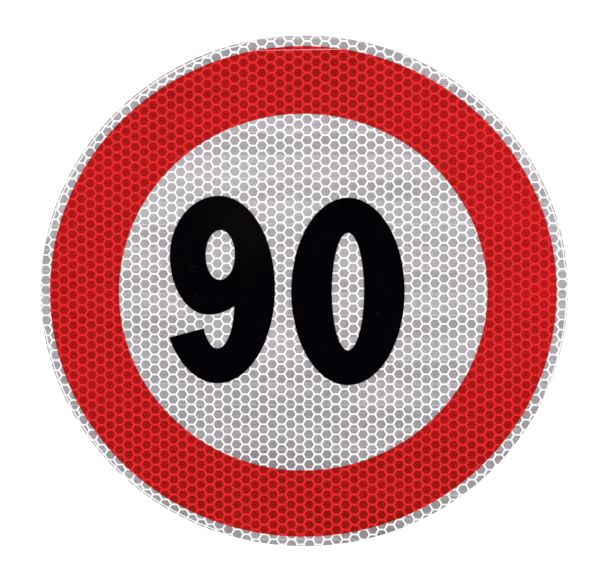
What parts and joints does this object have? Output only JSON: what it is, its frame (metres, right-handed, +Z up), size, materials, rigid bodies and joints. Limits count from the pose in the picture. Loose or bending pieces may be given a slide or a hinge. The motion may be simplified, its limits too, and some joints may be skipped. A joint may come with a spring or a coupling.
{
  "type": "speed limit sign",
  "caption": "Round self-adhesive speed limit disc of honeycomb retroreflective sheeting, with a red ring, black digits and a peelable backing sheet.",
  "frame": {"origin": "centre of the disc's back face, where the sign meets the surface it is fixed to", "axes": "+Z up as the digits read, -Y out of the printed face, +Y out of the back, +X to the right as the digits read"},
  "size_m": [0.2, 0.0007, 0.2],
  "materials": {
    "liner_paper": "satin",
    "bead_film": "matte",
    "white_seal": "matte",
    "clear_film": "gloss",
    "red_ink": "gloss",
    "black_ink": "gloss"
  },
  "bodies": {
    "root": {"release_liner": "liner_paper", "reflector_film": "bead_film", "honeycomb_grid": "white_seal", "cover_film": "clear_film", "red_ring": "red_ink", "digit_nine": "black_ink", "digit_zero": "black_ink"}
  },
  "joints": []
}
